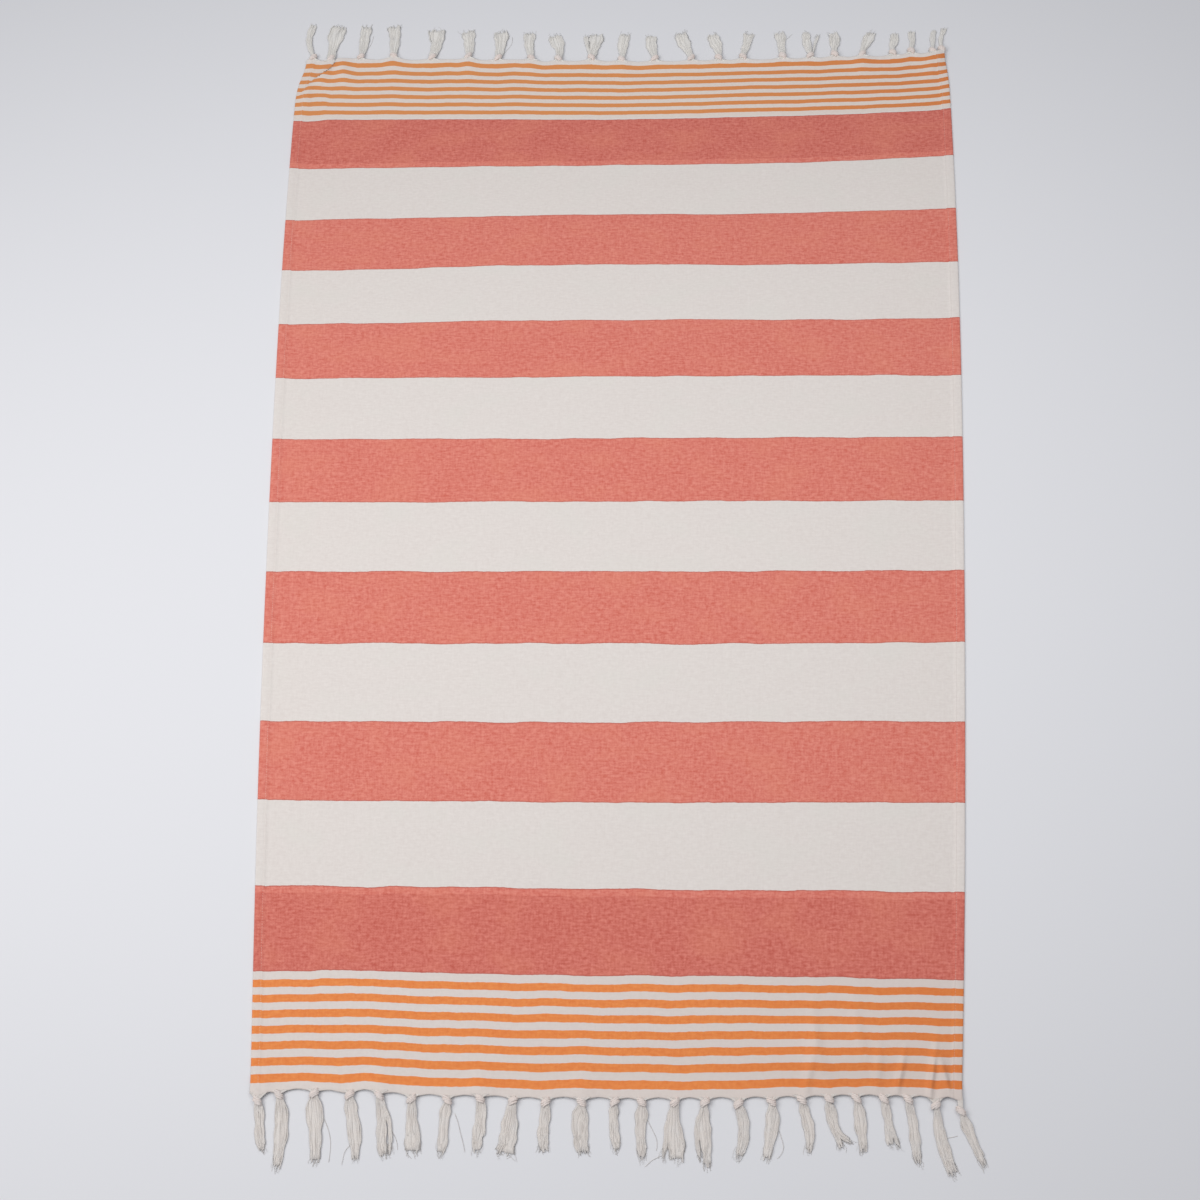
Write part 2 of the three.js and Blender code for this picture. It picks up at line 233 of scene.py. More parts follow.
def placed(tassels, end, knots_in):
    """The tassels with their knots' places across, in mm, the gaps being spread over the woven end."""
    first = knots_in[0] - half_width(-1, end)
    last = half_width(1, end) - knots_in[1]
    passed = np.cumsum(tassels[:, 0]) / tassels[:, 0].sum()
    return np.column_stack([(first + (last - first) * passed) / MM, tassels[:, 1:]])


def knot_across(tassels, number):
    """A knot's place in mm. Knots are numbered from 1 at the left, and a half lies between two."""
    return np.interp(number, np.arange(len(tassels)) + 1, tassels[:, 0])


def at_knots(tassels, table, asides=()):
    """A table whose first column, a knot's number, becomes a place across, as do its columns aside."""
    across = knot_across(tassels, table[:, 0])
    made = table.astype(float)
    made[:, 0] = across
    for column in asides:
        made[:, column] += across
    return made


near_tassels = placed(NEAR_TASSELS, 0.0, NEAR_KNOTS_IN)
far_tassels = placed(FAR_TASSELS, WOVEN, FAR_KNOTS_IN)
near_waves = at_knots(near_tassels, NEAR_WAVES)
far_waves = at_knots(far_tassels, FAR_WAVES)
folds = [
    *FOLDS,
    *CREASES,
    *[[knot_across(near_tassels, knot), PLEAT_INWARD, *PLEAT] for knot in NEAR_PLEATS],
    *[[knot_across(far_tassels, knot), WOVEN / MM - PLEAT_INWARD, *PLEAT] for knot in FAR_PLEATS],
]


def beaten(pick):
    """How far from the near end a weft thread lies, from its place in the even weave."""
    return pick * (1 + BEAT * (1 - pick / WOVEN))


def end_waves(table, x):
    """How far a table's waves carry a woven end out towards its fringe."""
    shift = np.zeros_like(x)
    for across, width, out in table * MM:
        shift += out * np.exp(-(((x - across) / width) ** 2))
    return shift


def knot_pull(drop):
    return min(KNOT_PULL_SHARE * drop, KNOT_PULL_LIMIT)


def pull_to_knots(tassels, x):
    """How far a woven end is drawn out towards the knots."""
    pull = np.zeros_like(x)
    for across, drop in tassels[:, :2] * MM:
        pointed = np.exp(-np.abs((x - across) / KNOT_PULL_ACROSS) ** 1.25)
        pull = np.maximum(pull, knot_pull(drop) * pointed)
    return pull


def one_a_row(table, columns):
    """The value of each row of a table at that row's own column."""
    return np.take_along_axis(table, columns[..., None], axis=-1)[..., 0]


def drift(share, x, along):
    """How far a weft thread lies towards the far end of its straight line."""
    rows = drift_rows(along / WOVEN)
    slopes = np.gradient(rows, ACROSS, axis=-1)
    i = np.clip(np.searchsorted(ACROSS, share, side="right") - 1, 0, len(ACROSS) - 2)

    def on_either_side(table):
        return one_a_row(table, i), one_a_row(table, i + 1)

    span = ACROSS[i + 1] - ACROSS[i]
    y = eased((share - ACROSS[i]) / span, span, on_either_side(rows), on_either_side(slopes))
    from_far = WOVEN - along
    y -= end_waves(near_waves, x) * np.exp(-along / WAVE_REACH)
    y += end_waves(far_waves, x) * np.exp(-from_far / (2 * WAVE_REACH))
    for across, place, width, reach, towards in KINKS * MM:
        y += towards * np.exp(-(((x - across) / width) ** 4) - ((along - place) / reach) ** 2)
    right_of, strength = tuck(x, along)
    y -= tuck_sag(right_of) * strength
    from_right = half_width(1, along) - x
    y += CORNER_PULL * np.exp(-from_right / CORNER_PULL_ACROSS - (from_far / CORNER_PULL_ALONG) ** 2)
    y -= pull_to_knots(near_tassels, x) * np.exp(-along / KNOT_PULL_ALONG)
    y += pull_to_knots(far_tassels, x) * np.exp(-from_far / KNOT_PULL_ALONG)
    return y


def tuck(x, along):
    """The fold under at the far left corner: how far right of its line a place is, and its strength."""
    out = WOVEN - along
    line = np.interp(out, TUCK_LINE[:, 1] * MM, TUCK_LINE[:, 0] * MM)
    return x - line, np.exp(-((out / TUCK_REACH) ** 2))


def tuck_sag(right_of):
    on_right = SAG_RIGHT * np.exp(-right_of / SAG_RIGHT_REACH)
    on_left = SAG_LEFT + SAG_LEFT_MORE * np.exp(right_of / SAG_LEFT_REACH)
    return np.where(right_of > 0, on_right, on_left)


def lift(x, along):
    """How high the cloth's lower face lies."""
    from_end = np.minimum(along, WOVEN - along)
    height = END_LIFT * np.exp(-((from_end / END_LIFT_REACH) ** 2))
    for across, place, turn, length, width, rise in folds:
        c, s = math.cos(math.radians(turn)), math.sin(math.radians(turn))
        dx, dy = x - across * MM, along - place * MM
        on, off = (dx * c + dy * s) / (length * MM), (dy * c - dx * s) / (width * MM)
        height = height + rise * MM * np.exp(-(on**2) - off**2)
    right_of, strength = tuck(x, along)
    lip = np.where(right_of > 0, np.exp(-right_of / LIP_REACHES[1]), np.exp(right_of / LIP_REACHES[0]))
    return height + TUCK_LIFT * strength * lip


# Radians to the metre across and along, and phase
RIPPLE_WAVES = [(31, 9, 0.4), (-17, 23, 1.9), (8, -37, 3.1), (43, 31, 4.4), (5, 13, 5.6)]


def ripple(x, along):
    """The slight unevenness of pressed cotton, in the range 0 to 1."""
    total = sum(np.sin(a * x + b * along + phase) for a, b, phase in RIPPLE_WAVES)
    return 0.5 + total / (2 * len(RIPPLE_WAVES))


# ---- meshes from plain arrays ----
def link_object(name, data):
    made = bpy.data.objects.new(name, data)
    bpy.context.scene.collection.objects.link(made)
    return made


def mesh_object(name, points, faces):
    mesh = bpy.data.meshes.new(name)
    mesh.from_pydata(points.tolist(), [], faces)
    mesh.validate()
    return link_object(name, mesh)


def shade_smooth(piece):
    polygons = piece.data.polygons
    polygons.foreach_set("use_smooth", [True] * len(polygons))


def in_frame(x, y, z):
    """Points given across and along the towel, as an array in the model's own frame."""
    return np.stack([np.asarray(x) + MIDDLE_X, np.asarray(y) + NEAR_Y, np.asarray(z)], axis=-1)


# ---- the striped cloth ----
HEM_PROFILE = np.array([  # from the edge, above the single cloth, in mm
    [0.0, -0.8], [0.35, 0.15], [1.2, 0.72], [3.0, 0.85], [7.0, 0.8], [10.8, 0.78], [11.7, 0.42],
    [12.6, 0.74], [13.8, 0.5], [14.8, 0.0], [18.0, 0.0],
])
HEM_DEPTH = 14.5  # mm from the edge to the end of the turned cloth
EDGE_SPAN = 70 * MM  # next to each hem the mesh's columns are closer together
EDGE_COLUMNS = 40
INNER_COLUMNS = 200
END_STEPS = np.array([  # the mesh's rows next to a woven end, in mm from it
    0, 0.8, 1.8, 3, 4.5, 6.2, 8, 10, 12, 14.2, 16.6, 19, 21.5, 24, 27, 30, 33, 36.5, 40, 44, 48, 53, 58,
    64, 71, 79, 88,
])
MIDDLE_ROWS = 56


def cloth_columns():
    """Each column's share of the half width, its height above the single cloth and its stripes' shift."""
    edge = 1 - HEM_PROFILE[:, 0] * MM / HALF_WIDTH
    fine = EDGE_SPAN / HALF_WIDTH
    side = np.linspace(edge[-1], edge[-1] - fine, EDGE_COLUMNS)
    middle = np.linspace(fine - edge[-1], edge[-1] - fine, INNER_COLUMNS)[1:-1]
    inner = np.concatenate([-side[1:], middle, side[:0:-1]])
    single = np.zeros_like(inner)
    above = HEM_PROFILE[:, 1] * MM
    shift = np.where(HEM_PROFILE[:, 0] < HEM_DEPTH, HEM_SHIFT, 0)
    shares = np.concatenate([-edge, inner, edge[::-1]])
    rises = np.concatenate([above, single, above[::-1]])
    return shares, rises, np.concatenate([shift, single, shift[::-1]])


def cloth_rows():
    near = END_STEPS * MM
    middle = np.linspace(near[-1], WOVEN - near[-1], MIDDLE_ROWS)[1:-1]
    return np.concatenate([near, middle, WOVEN - near[::-1]])


def underside_at(share, pick):
    """Where the cloth's lower face is, at a share of its half width and a place in the even weave."""
    along = beaten(pick)
    x = place_across(share, along)
    y = along + drift(share, x, along)
    z = lift(x, along) + RIPPLE * ripple(x, along)
    return x, y, z


def closed_sheet(long, wide):
    """The faces of a sheet whose upper points come first, row by row, and then its lower ones."""
    count = wide * long
    cell = np.arange(count).reshape(long, wide)
    upper = np.stack([cell[:-1, :-1], cell[:-1, 1:], cell[1:, 1:], cell[1:, :-1]], axis=-1).reshape(-1, 4)
    faces = upper.tolist() + (upper[:, ::-1] + count).tolist()
    for rim in (cell[0], cell[:, -1], cell[-1, ::-1], cell[::-1, 0]):
        for p, q in zip(rim[:-1].tolist(), rim[1:].tolist()):
            faces.append([p, p + count, q + count, q])
    return faces


def add_weave_map(cloth, u, v):
    """The map that the striped cotton reads: metres across and along the flat weave, on both faces."""
    place = np.tile(np.stack([u, v], axis=-1).reshape(-1, 2), (2, 1))
    layer = cloth.data.uv_layers.new(name="weave")
    corner = np.zeros(len(cloth.data.loops), np.int32)
    cloth.data.loops.foreach_get("vertex_index", corner)
    layer.data.foreach_set("uv", place[corner].astype(np.float32).ravel())


def make_cloth():
    columns, rises, shifts = cloth_columns()
    shares, picks = np.meshgrid(columns, cloth_rows())
    x, y, z = underside_at(shares, picks)
    rounding = END_ROUNDING * (np.minimum(picks, WOVEN - picks) == 0)
    upper = in_frame(x, y, z + SHEET + rises - rounding).reshape(-1, 3)
    lower = in_frame(x, y, z + rounding * LOWER_ROUNDING).reshape(-1, 3)
    cloth = mesh_object("striped_cloth", np.concatenate([upper, lower]), closed_sheet(*shares.shape))
    add_weave_map(cloth, (shares + 1) * HALF_WIDTH, picks - shifts)
    shade_smooth(cloth)
    return cloth


# ---- node graphs ----
def put(tree, kind, feeds=None, **settings):
    """A node with its settings, and with values or other nodes' outputs on its inputs."""
    node = tree.nodes.new(kind)
    for name, value in settings.items():
        setattr(node, name, value)
    for key, value in (feeds or {}).items():
        socket = node.inputs[key]
        if isinstance(value, bpy.types.NodeSocket):
            tree.links.new(value, socket)
        else:
            socket.default_value = value
    return node


def calc(tree, operation, *values):
    return put(tree, "ShaderNodeMath", dict(enumerate(values)), operation=operation).outputs[0]


def plus(tree, first, second):
    return calc(tree, "ADD", first, second)


def minus(tree, first, second):
    return calc(tree, "SUBTRACT", first, second)


def times(tree, first, second):
    return calc(tree, "MULTIPLY", first, second)


def vector_calc(tree, operation, *values):
    return put(tree, "ShaderNodeVectorMath", dict(enumerate(values)), operation=operation).outputs[0]


def blend(tree, share, first, second, how="MIX"):
    feeds = {0: share, 6: first, 7: second}
    return put(tree, "ShaderNodeMix", feeds, data_type="RGBA", blend_type=how).outputs[2]


def noise(tree, where, scale, detail=2.0, roughness=0.5):
    feeds = {"Vector": where, "Scale": scale, "Detail": detail, "Roughness": roughness}
    return put(tree, "ShaderNodeTexNoise", feeds).outputs["Fac"]


def spread(tree, value, low, high, to_low=0.0, to_high=1.0):
    feeds = {"Value": value, "From Min": low, "From Max": high, "To Min": to_low, "To Max": to_high}
    return put(tree, "ShaderNodeMapRange", feeds).outputs["Result"]


def woven_noise(tree, u, v, across, along, detail=2.0, roughness=0.5):
    """Noise over the weave with its own scale in each direction, for streaks that run with the threads."""
    feeds = {0: times(tree, u, across), 1: times(tree, v, along)}
    where = put(tree, "ShaderNodeCombineXYZ", feeds).outputs[0]
    return noise(tree, where, 1.0, detail, roughness)


def attribute(tree, name):
    return put(tree, "ShaderNodeAttribute", attribute_name=name).outputs["Fac"]


def add_bump(tree, shader, height, strength, distance):
    bump = put(tree, "ShaderNodeBump", {"Strength": strength, "Distance": distance, "Height": height})
    tree.links.new(bump.outputs[0], shader.inputs["Normal"])


def cotton_shader(name, sheen=0.12):
    material = bpy.data.materials.new(name)
    material.use_nodes = True
    tree = material.node_tree
    shader = tree.nodes["Principled BSDF"]
    shader.inputs["Roughness"].default_value = 0.9
    shader.inputs["Specular IOR Level"].default_value = 0.2
    shader.inputs["Sheen Weight"].default_value = sheen
    shader.inputs["Sheen Roughness"].default_value = 0.55
    return material, tree, shader


# ---- striped cotton ----
CORAL = (0.616, 0.113, 0.074, 1)
PALE_CORAL = (0.777, 0.247, 0.187, 1)
# painted shade: the two end bands' coral is darker, for the light falling off towards both ends
END_SHADED_CORAL = (0.530, 0.081, 0.053, 1)
PALE_END_SHADED_CORAL = (0.722, 0.204, 0.153, 1)
RUST_CORAL = (0.72, 0.215, 0.115, 1)
EDGE_DARK_CORAL = (0.44, 0.085, 0.055, 1)  # darker coral at a band's edges
ORANGE = (0.770, 0.190, 0.024, 1)
PALE_ORANGE = (0.850, 0.268, 0.052, 1)
DULL_ORANGE = (0.70, 0.250, 0.062, 1)
# painted shade: the orange is darker towards the right, where the light falls off
RIGHT_SHADED_ORANGE = (0.660, 0.150, 0.012, 1)
NATURAL = (0.711, 0.648, 0.606, 1)
PALE_NATURAL = (0.767, 0.709, 0.667, 1)
FADED_NATURAL = (0.705, 0.680, 0.622, 1)
# the undyed weft between the far stripes, tinged towards orange
ORANGE_TINGED_NATURAL = (0.745, 0.590, 0.480, 1)
# the near border's undyed weft: rosier, and darker with painted shade
ROSY_SHADED_NATURAL = (0.670, 0.560, 0.505, 1)
WARP_OVER_DYE = (0.80, 0.62, 0.55, 1)  # the undyed warp where it crosses over dyed weft
WARP_PITCH = 1.05 * MM
WEFT_PITCH = 0.95 * MM
WEAVE_RELIEF = 0.25 * MM
SHOT_WANDER = 6 * MM  # how far a shot of weft strays from straight over a long stretch
SHOT_RAGGEDNESS = 1.2 * MM  # and from thread to thread
SHADED_END_BAND = BORDER + BAND * 0.9  # coral weft nearer than this to a woven end is deep coral, painted shade of the light falling off towards both ends
FAR_STRIPE_TINGE = 0.35  # how much the undyed weft between the far stripes is tinged towards their colour


def wandering_shot(tree, u, v):
    """How far along the weave a shot of weft is. It is never quite straight."""
    wander = woven_noise(tree, u, v, across=14.0, along=6.0)
    ragged = woven_noise(tree, u, v, across=160.0, along=60.0)
    shot = plus(tree, v, times(tree, minus(tree, wander, 0.5), SHOT_WANDER))
    return plus(tree, shot, times(tree, minus(tree, ragged, 0.5), SHOT_RAGGEDNESS))


def coral_bands(tree, shot, from_end):
    """Where the weft is coral, and a shot's place in its pair of bands."""
    pair = calc(tree, "FRACT", calc(tree, "DIVIDE", minus(tree, shot, BORDER), 2 * BAND))
    in_bands = calc(tree, "GREATER_THAN", from_end, BORDER)
    return times(tree, calc(tree, "LESS_THAN", pair, CORAL_SHARE), in_bands), pair


def orange_stripes(tree, from_end):
    """Where the weft is orange, and the part of each border that the stripes take up."""
    turn = calc(tree, "DIVIDE", minus(tree, from_end, FIRST_STRIPE), STRIPE_PITCH)
    in_turn = calc(tree, "LESS_THAN", calc(tree, "FRACT", turn), STRIPE / STRIPE_PITCH)
    started = calc(tree, "GREATER_THAN", turn, 0.0)
    striped = times(tree, started, calc(tree, "LESS_THAN", turn, STRIPES))
    return times(tree, in_turn, striped), striped


def heathering(tree, u, v):
    """Streaks along both sets of threads, the lightness that they and flecks give, and large patches."""
    weft_streak = woven_noise(tree, u, v, across=90.0, along=420.0, roughness=0.6)
    warp_streak = woven_noise(tree, u, v, across=400.0, along=85.0, roughness=0.6)
    mottle = woven_noise(tree, u, v, across=170.0, along=220.0, detail=3.0, roughness=0.6)
    patch = woven_noise(tree, u, v, across=13.0, along=19.0)
    streaks = plus(tree, times(tree, weft_streak, 0.6), times(tree, warp_streak, 0.4))
    heather = plus(tree, times(tree, streaks, 0.6), times(tree, mottle, 0.4))
    cloudy = times(tree, minus(tree, patch, 0.5), 0.08)
    light = spread(tree, plus(tree, heather, cloudy), 0.385, 0.615)
    return streaks, light, patch


def coral_weft(tree, light, patch, pair, from_end):
    """Coral, deeper in the two end bands as painted shade, rusty in patches and darker at a band's edges."""
    # painted shade in the end bands
    in_shaded_end_band = calc(tree, "LESS_THAN", from_end, SHADED_END_BAND)
    dark = blend(tree, in_shaded_end_band, CORAL, END_SHADED_CORAL)
    pale = blend(tree, in_shaded_end_band, PALE_CORAL, PALE_END_SHADED_CORAL)
    colour = blend(tree, light, dark, pale)
    colour = blend(tree, spread(tree, patch, 0.48, 0.68, to_high=0.22), colour, RUST_CORAL)
    to_edge = times(tree, calc(tree, "MINIMUM", pair, minus(tree, CORAL_SHARE, pair)), 2 * BAND)
    edge_darkening = spread(tree, to_edge, 0.5 * MM, 1.6 * MM, to_low=0.8, to_high=0.0)
    return blend(tree, edge_darkening, colour, EDGE_DARK_CORAL)


def natural_weft(tree, light, patch, u, shot, far_striped):
    """Undyed, faded in patches, tinged towards orange between the far stripes, and rosy and darker with
    painted shade in the near border, more so towards the right.
    """
    colour = blend(tree, light, NATURAL, PALE_NATURAL)
    colour = blend(tree, spread(tree, patch, 0.5, 0.7, to_high=0.3), colour, FADED_NATURAL)
    colour = blend(tree, times(tree, far_striped, FAR_STRIPE_TINGE), colour, ORANGE_TINGED_NATURAL)
    near_border = calc(tree, "LESS_THAN", shot, BORDER)
    # the rosy colour and its painted shade grow towards the right
    rosy_shade = spread(tree, u, 0.4 * HALF_WIDTH, 2 * HALF_WIDTH, to_low=0.3, to_high=0.65)
    return blend(tree, times(tree, near_border, rosy_shade), colour, ROSY_SHADED_NATURAL)


def orange_weft(tree, light, u, far_end):
    """Orange, duller at the far end and deeper towards the right, the deeper colour being painted shade."""
    colour = blend(tree, light, ORANGE, PALE_ORANGE)
    colour = blend(tree, far_end, colour, DULL_ORANGE)
    right_shade = spread(tree, u, 1.2 * HALF_WIDTH, 2 * HALF_WIDTH, to_high=0.5)
    return blend(tree, right_shade, colour, RIGHT_SHADED_ORANGE)


def cloth_material():
    material, tree, shader = cotton_shader("striped_cotton")
    uv = put(tree, "ShaderNodeUVMap", uv_map="weave").outputs[0]
    parts = put(tree, "ShaderNodeSeparateXYZ", {0: uv})
    u, v = parts.outputs[0], parts.outputs[1]

    shot = wandering_shot(tree, u, v)
    from_end = calc(tree, "MINIMUM", shot, minus(tree, WOVEN, shot))
    far_end = calc(tree, "GREATER_THAN", shot, WOVEN / 2)
    coral, pair = coral_bands(tree, shot, from_end)
    orange, striped = orange_stripes(tree, from_end)
    streaks, light, patch = heathering(tree, u, v)
    weft = natural_weft(tree, light, patch, u, shot, times(tree, striped, far_end))
    weft = blend(tree, orange, weft, orange_weft(tree, light, u, far_end))
    weft = blend(tree, coral, weft, coral_weft(tree, light, patch, pair, from_end))

    # The plain weave itself: warp threads along, weft threads across, one over the other in turn.
    warp_wave = calc(tree, "SINE", times(tree, u, math.pi / WARP_PITCH))
    weft_wave = calc(tree, "SINE", times(tree, shot, math.pi / WEFT_PITCH))
    over = times(tree, warp_wave, weft_wave)
    dyed = calc(tree, "MAXIMUM", coral, orange)
    warp_up = times(tree, spread(tree, over, -0.2, 0.9, to_high=0.22), dyed)
    tree.links.new(blend(tree, warp_up, weft, WARP_OVER_DYE), shader.inputs["Base Color"])
    height = plus(tree, calc(tree, "ABSOLUTE", over), times(tree, streaks, 0.8))
    add_bump(tree, shader, height, strength=0.5, distance=WEAVE_RELIEF)
    return material


# ---- cotton yarn and thread ----
NEAR_YARN = (0.735, 0.680, 0.635, 1)
# painted light: the far tassels' yarn is paler than the near yarn, for more light on the far fringe
FAR_YARN_PAINTED_LIGHT = (0.795, 0.765, 0.720, 1)
KNOT_YARN = (0.800, 0.700, 0.650, 1)
CLOUDED_YARN = (0.71, 0.70, 0.69, 1)
TONED_YARN = (0.71, 0.665, 0.63, 1)
# painted shade: the greyer colour of the tips, for the shade among their thin frayed fibres
GREY_TIP_SHADE = (0.69, 0.69, 0.70, 1)
THREAD = (0.72, 0.62, 0.57, 1)
PLIES = 2
PLY_TURN = 3.2 * MM  # the length in which a yarn's plies go once round
YARN_RELIEF = 0.2 * MM


def yarn_material(name, colour):
    """Twisted yarn, each with a tone of its own and a greyer tip that is painted shade among its frayed
    fibres.
    """
    material, tree, shader = cotton_shader(name, sheen=0.15)
    tone, run, turn, tip = (attribute(tree, kept) for kept in ("tone", "run", "turn", "tip_shade"))
    place = put(tree, "ShaderNodeTexCoord").outputs["Object"]
    fuzz = noise(tree, place, 900.0, roughness=0.6)
    cloud = noise(tree, place, 60.0)
    mixed = blend(tree, spread(tree, cloud, 0.45, 0.75, to_high=0.35), colour, CLOUDED_YARN)
    mixed = blend(tree, times(tree, tone, 0.15), mixed, TONED_YARN)
    # painted shade at each yarn's tip
    mixed = blend(tree, times(tree, tip, 0.2), mixed, GREY_TIP_SHADE)
    shade = spread(tree, fuzz, 0.3, 0.7, to_low=0.9, to_high=1.06)
    shades = put(tree, "ShaderNodeCombineXYZ", {0: shade, 1: shade, 2: shade}).outputs[0]
    tree.links.new(blend(tree, 1.0, mixed, shades, "MULTIPLY"), shader.inputs["Base Color"])
    twist = plus(tree, times(tree, run, 1 / PLY_TURN), times(tree, turn, PLIES))
    ply = calc(tree, "SINE", times(tree, twist, 2 * math.pi))
    add_bump(tree, shader, plus(tree, times(tree, ply, 0.5), fuzz), strength=0.6, distance=YARN_RELIEF)
    return material


def thread_material():
    material, tree, shader = cotton_shader("sewing_thread", sheen=0.1)
    shader.inputs["Base Color"].default_value = THREAD
    return material


# ---- yarns and stitches grown along guide lines ----
def group_inputs(group, kinds):
    """Adds the group's inputs, and one output, and gives back the inputs' node."""
    group.interface.new_socket("Geometry", in_out="OUTPUT", socket_type="NodeSocketGeometry")
    group.interface.new_socket("Guides", in_out="INPUT", socket_type="NodeSocketGeometry")
    for name, kind in kinds.items():
        group.interface.new_socket(name, in_out="INPUT", socket_type="NodeSocket" + kind)
    return put(group, "NodeGroupInput")


def scaled(tree, vector, size):
    return put(tree, "ShaderNodeVectorMath", {0: vector, 3: size}, operation="SCALE").outputs[0]


def remember(tree, geometry, name, value):
    feeds = {"Geometry": geometry, "Name": name, "Value": value}
    return put(tree, "GeometryNodeStoreNamedAttribute", feeds, data_type="FLOAT", domain="POINT").outputs[0]


def chance(tree, low, high, seed):
    feeds = {2: low, 3: high, "Seed": seed}
    return put(tree, "FunctionNodeRandomValue", feeds, data_type="FLOAT").outputs[1]


def round_profile(tree, sides, radius):
    feeds = {"Resolution": sides, "Radius": radius}
    return put(tree, "GeometryNodeCurvePrimitiveCircle", feeds).outputs[0]


def swept(tree, curve, profile):
    feeds = {"Curve": curve, "Profile Curve": profile, "Fill Caps": True}
    return put(tree, "GeometryNodeCurveToMesh", feeds).outputs[0]


def finish_group(group, geometry, material):
    """The group's end: everything made real and given its material."""
    smooth = put(group, "GeometryNodeSetShadeSmooth", {"Geometry": geometry}).outputs[0]
    whole = put(group, "GeometryNodeRealizeInstances", {"Geometry": smooth}).outputs[0]
    painted = put(group, "GeometryNodeSetMaterial", {"Geometry": whole, "Material": material}).outputs[0]
    put(group, "NodeGroupOutput", {0: painted})
    return group


STRAY_WAVES = 42.0  # how fine the waves of loose yarns are
STRAY_REACH = (2.0, 0.6, 0.7)  # how much of a yarn's stray goes each way
WAVES_APART = 90.0  # each takes them from its own place in the noise, up to this far each way


def yarn_group():
    """Each guide line becomes a bundle: its yarns lie round an ellipse with the guide's own half sizes."""
    group = bpy.data.node_groups.new("yarns_on_guides", "GeometryNodeTree")
    given = group_inputs(group, {
        "Yarns": "Int", "Yarn radius": "Float", "Stray": "Float", "Uneven ends": "Float",
        "Grey from": "Float", "Up": "Vector", "Sides": "Int", "Seed": "Int", "Material": "Material",
    }).outputs

    def guide(name):
        return put(group, "GeometryNodeInputNamedAttribute", {"Name": name}, data_type="FLOAT").outputs[0]

    def per_yarn(low, high, seed):
        feeds = {0: chance(group, low, high, plus(group, given["Seed"], seed))}
        kinds = {"data_type": "FLOAT", "domain": "CURVE"}
        return put(group, "GeometryNodeFieldOnDomain", feeds, **kinds).outputs[0]

    lines = put(group, "GeometryNodeMeshToCurve", {"Mesh": given["Guides"]}).outputs[0]
    feeds = {"Geometry": lines, "Amount": given["Yarns"]}
    copies = put(group, "GeometryNodeDuplicateElements", feeds, domain="SPLINE")
    along = put(group, "GeometryNodeSplineParameter").outputs["Factor"]
    loose = guide("loose")

    # Each yarn's own place round its bundle. A loose one drifts round it and may lie further in.
    turned = plus(group, copies.outputs["Duplicate Index"], per_yarn(0.2, 0.8, 1.0))
    angle = times(group, calc(group, "DIVIDE", turned, given["Yarns"]), 2 * math.pi)
    angle = plus(group, angle, times(group, times(group, loose, along), per_yarn(-0.9, 0.9, 2.0)))
    inwards = minus(group, 1.0, times(group, loose, per_yarn(0.0, 0.3, 7.0)))
    sideways = times(group, calc(group, "COSINE", angle), times(group, inwards, guide("half_width")))
    upwards = times(group, calc(group, "SINE", angle), times(group, inwards, guide("half_height")))
    tangent = put(group, "GeometryNodeInputTangent").outputs[0]
    across = vector_calc(group, "NORMALIZE", vector_calc(group, "CROSS_PRODUCT", tangent, given["Up"]))
    offset = vector_calc(group, "ADD", scaled(group, across, sideways), scaled(group, given["Up"], upwards))

    # Loose yarns also wave, each in its own way.
    place = put(group, "GeometryNodeInputPosition").outputs[0]
    feeds = {0: per_yarn(0.0, WAVES_APART, 3.0), 1: per_yarn(0.0, WAVES_APART, 4.0)}
    own = put(group, "ShaderNodeCombineXYZ", feeds).outputs[0]
    feeds = {"Vector": vector_calc(group, "ADD", scaled(group, place, STRAY_WAVES), own)}
    wave = put(group, "ShaderNodeTexNoise", {**feeds, "Scale": 1.0, "Detail": 1.0}).outputs["Color"]
    centred = vector_calc(group, "SUBTRACT", wave, (0.5, 0.5, 0.5))
    waved = scaled(group, centred, times(group, given["Stray"], loose))
    offset = vector_calc(group, "ADD", offset, vector_calc(group, "MULTIPLY", waved, STRAY_REACH))
    feeds = {"Geometry": copies.outputs[0], "Offset": offset}
    moved = put(group, "GeometryNodeSetPosition", feeds).outputs[0]
    last = minus(group, 1.0, times(group, per_yarn(0.0, 1.0, 5.0), given["Uneven ends"]))
    cut = put(group, "GeometryNodeTrimCurve", {"Curve": moved, "End": last}, mode="FACTOR").outputs[0]

    # Keep every yarn above the surface that it lies on.
    there = put(group, "ShaderNodeSeparateXYZ", {0: put(group, "GeometryNodeInputPosition").outputs[0]})
    lowest = calc(group, "MAXIMUM", there.outputs[2], given["Yarn radius"])
    feeds = {0: there.outputs[0], 1: there.outputs[1], 2: lowest}
    kept = put(group, "ShaderNodeCombineXYZ", feeds).outputs[0]
    cut = put(group, "GeometryNodeSetPosition", {"Geometry": cut, "Position": kept}).outputs[0]

    cut = remember(group, cut, "tone", per_yarn(0.0, 1.0, 6.0))
    cut = remember(group, cut, "run", put(group, "GeometryNodeSplineParameter").outputs["Length"])
    # how far along a yarn its tip's painted shade has come
    cut = remember(group, cut, "tip_shade", spread(group, along, given["Grey from"], 1.0))
    ring = round_profile(group, given["Sides"], given["Yarn radius"])
    ring = remember(group, ring, "turn", put(group, "GeometryNodeSplineParameter").outputs["Factor"])
    return finish_group(group, swept(group, cut, ring), given["Material"])


